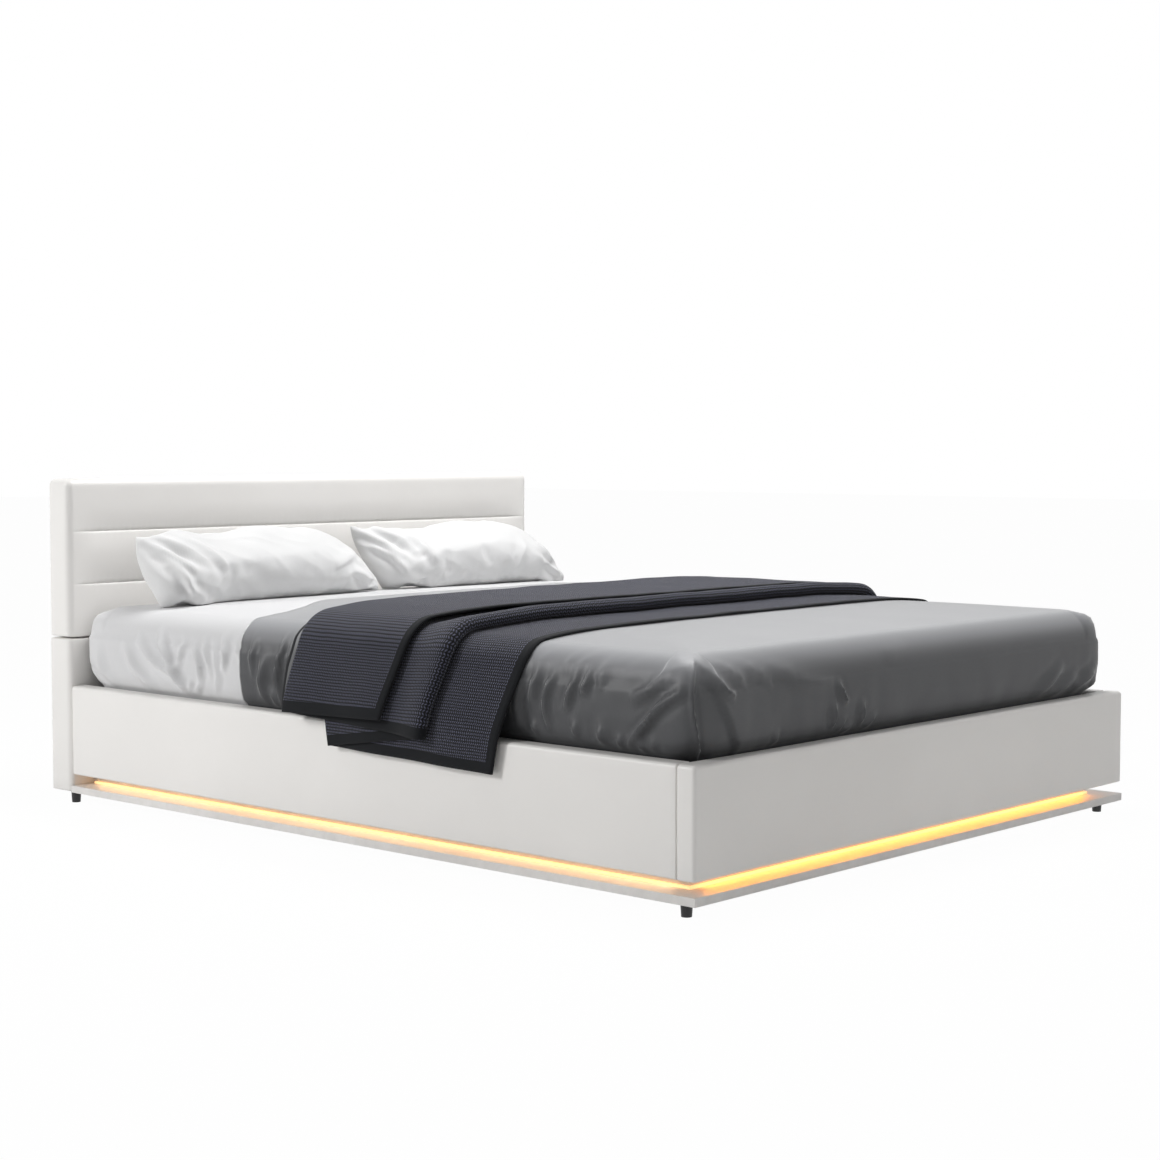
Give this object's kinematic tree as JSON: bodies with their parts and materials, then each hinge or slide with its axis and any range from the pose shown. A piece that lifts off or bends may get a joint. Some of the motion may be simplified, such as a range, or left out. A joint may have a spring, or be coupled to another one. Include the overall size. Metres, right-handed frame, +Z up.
{
  "type": "upholstered storage bed",
  "caption": "White upholstered bed with a channelled headboard, lit recess above a thin plinth, slatted platform that lifts from the foot end, mattress and bedding.",
  "frame": {"origin": "on the floor under the middle of the bed's bounding box", "axes": "+Y runs from the foot end to the headboard, +Z up, +X to the right seen from the foot end"},
  "size_m": [1.771, 2.173, 0.844],
  "materials": {
    "black_plastic": "moulded",
    "steel_dark": "satin powder coat",
    "frame_grey": "satin powder coat",
    "plinth_white": "smooth foil on board",
    "board": "raw board",
    "floor_panel": "melamine-faced board",
    "light_diffuser": "milky silicone",
    "controller_case": "moulded",
    "cable_sheath": "smooth",
    "white_leather": "smooth, fine grain",
    "zinc_steel": "zinc plated",
    "black_rubber": "matte",
    "strut_black": "gloss",
    "strut_chrome": "polished",
    "slat_wood": "clear lacquer",
    "holder_plastic": "moulded",
    "strap_fabric": "woven webbing",
    "mattress_fabric": "knitted ticking",
    "sheet_cotton": "plain cotton",
    "coverlet_satin": "satin",
    "throw_knit": "chevron knit",
    "pillow_cotton": "plain cotton"
  },
  "bodies": {
    "bed_frame": {"feet": "black_plastic", "centre_legs": "steel_dark", "corner_brackets": "steel_dark", "hinge_plate_left": "steel_dark", "hinge_plate_right": "steel_dark", "plinth_left": "plinth_white", "plinth_right": "plinth_white", "plinth_foot": "plinth_white", "recess_board_left": "plinth_white", "recess_board_right": "plinth_white", "recess_board_foot": "plinth_white", "base_board_head": "board", "centre_beam": "board", "rail_board_left": "board", "rail_board_right": "board", "footboard_board": "board", "headboard_lower_board": "board", "headboard_upper_board": "board", "headboard_battens": "board", "foot_rest_batten": "board", "storage_floor": "floor_panel", "light_strip_left": "light_diffuser", "light_strip_right": "light_diffuser", "light_strip_foot": "light_diffuser", "light_controller": "controller_case", "power_inlet": "controller_case", "light_cables": "cable_sheath", "rail_cover_left": "white_leather", "rail_cover_right": "white_leather", "footboard_cover": "white_leather", "headboard_lower_cover": "white_leather", "headboard_upper_cover": "white_leather", "headboard_pad_bottom": "white_leather", "headboard_pad_middle": "white_leather", "headboard_pad_top": "white_leather", "bolts": "zinc_steel", "fixed_pins": "zinc_steel", "rest_pads": "black_rubber"},
    "lift_arms": {"lift_arms": "steel_dark"},
    "guide_arms": {"guide_arms": "steel_dark", "lever_pins": "zinc_steel"},
    "strut_cylinders": {"strut_cylinders": "strut_black"},
    "strut_rods": {"strut_rods": "strut_chrome"},
    "platform": {"platform_brackets": "steel_dark", "platform_pins": "zinc_steel", "frame_side_tubes": "frame_grey", "frame_end_tubes": "frame_grey", "frame_centre_tube": "frame_grey", "frame_cross_tubes": "frame_grey", "slats": "slat_wood", "slat_holders": "holder_plastic", "pull_strap": "strap_fabric", "mattress_stops": "steel_dark", "mattress": "mattress_fabric", "fitted_sheet": "sheet_cotton", "coverlet": "coverlet_satin", "throw_blanket": "throw_knit", "pillow_left": "pillow_cotton", "pillow_right": "pillow_cotton"}
  },
  "joints": [
    {"name": "lift_swing", "type": "hinge", "parent": "bed_frame", "child": "lift_arms", "pos_m": [0, 0.436, 0.195], "axis": [1, 0, 0], "range_deg": [0, 60]},
    {"name": "platform_tilt", "type": "hinge", "parent": "lift_arms", "child": "platform", "pos_m": [0, 0.604, 0.217], "axis": [-1, 0, 0], "range_deg": [0, 87.1]},
    {"name": "guide_swing", "type": "hinge", "parent": "bed_frame", "child": "guide_arms", "pos_m": [0, 0.131, 0.126], "axis": [1, 0, 0], "range_deg": [0, 39.7]},
    {"name": "strut_swing", "type": "hinge", "parent": "bed_frame", "child": "strut_cylinders", "pos_m": [0, 0.354, 0.111], "axis": [1, 0, 0], "range_deg": [0, 6.3]},
    {"name": "strut_extend", "type": "slide", "parent": "strut_cylinders", "child": "strut_rods", "axis": [0, -0.9004, 0.435], "range_m": [0, 0.0524]}
  ],
  "couplings": [
    {"joint": "platform_tilt", "follows": "lift_swing", "ratio": 1.45},
    {"joint": "guide_swing", "follows": "lift_swing", "ratio": 0.66},
    {"joint": "strut_swing", "follows": "lift_swing", "ratio": 0.104},
    {"joint": "strut_extend", "follows": "lift_swing", "m_per_rad": 0.0499}
  ]
}
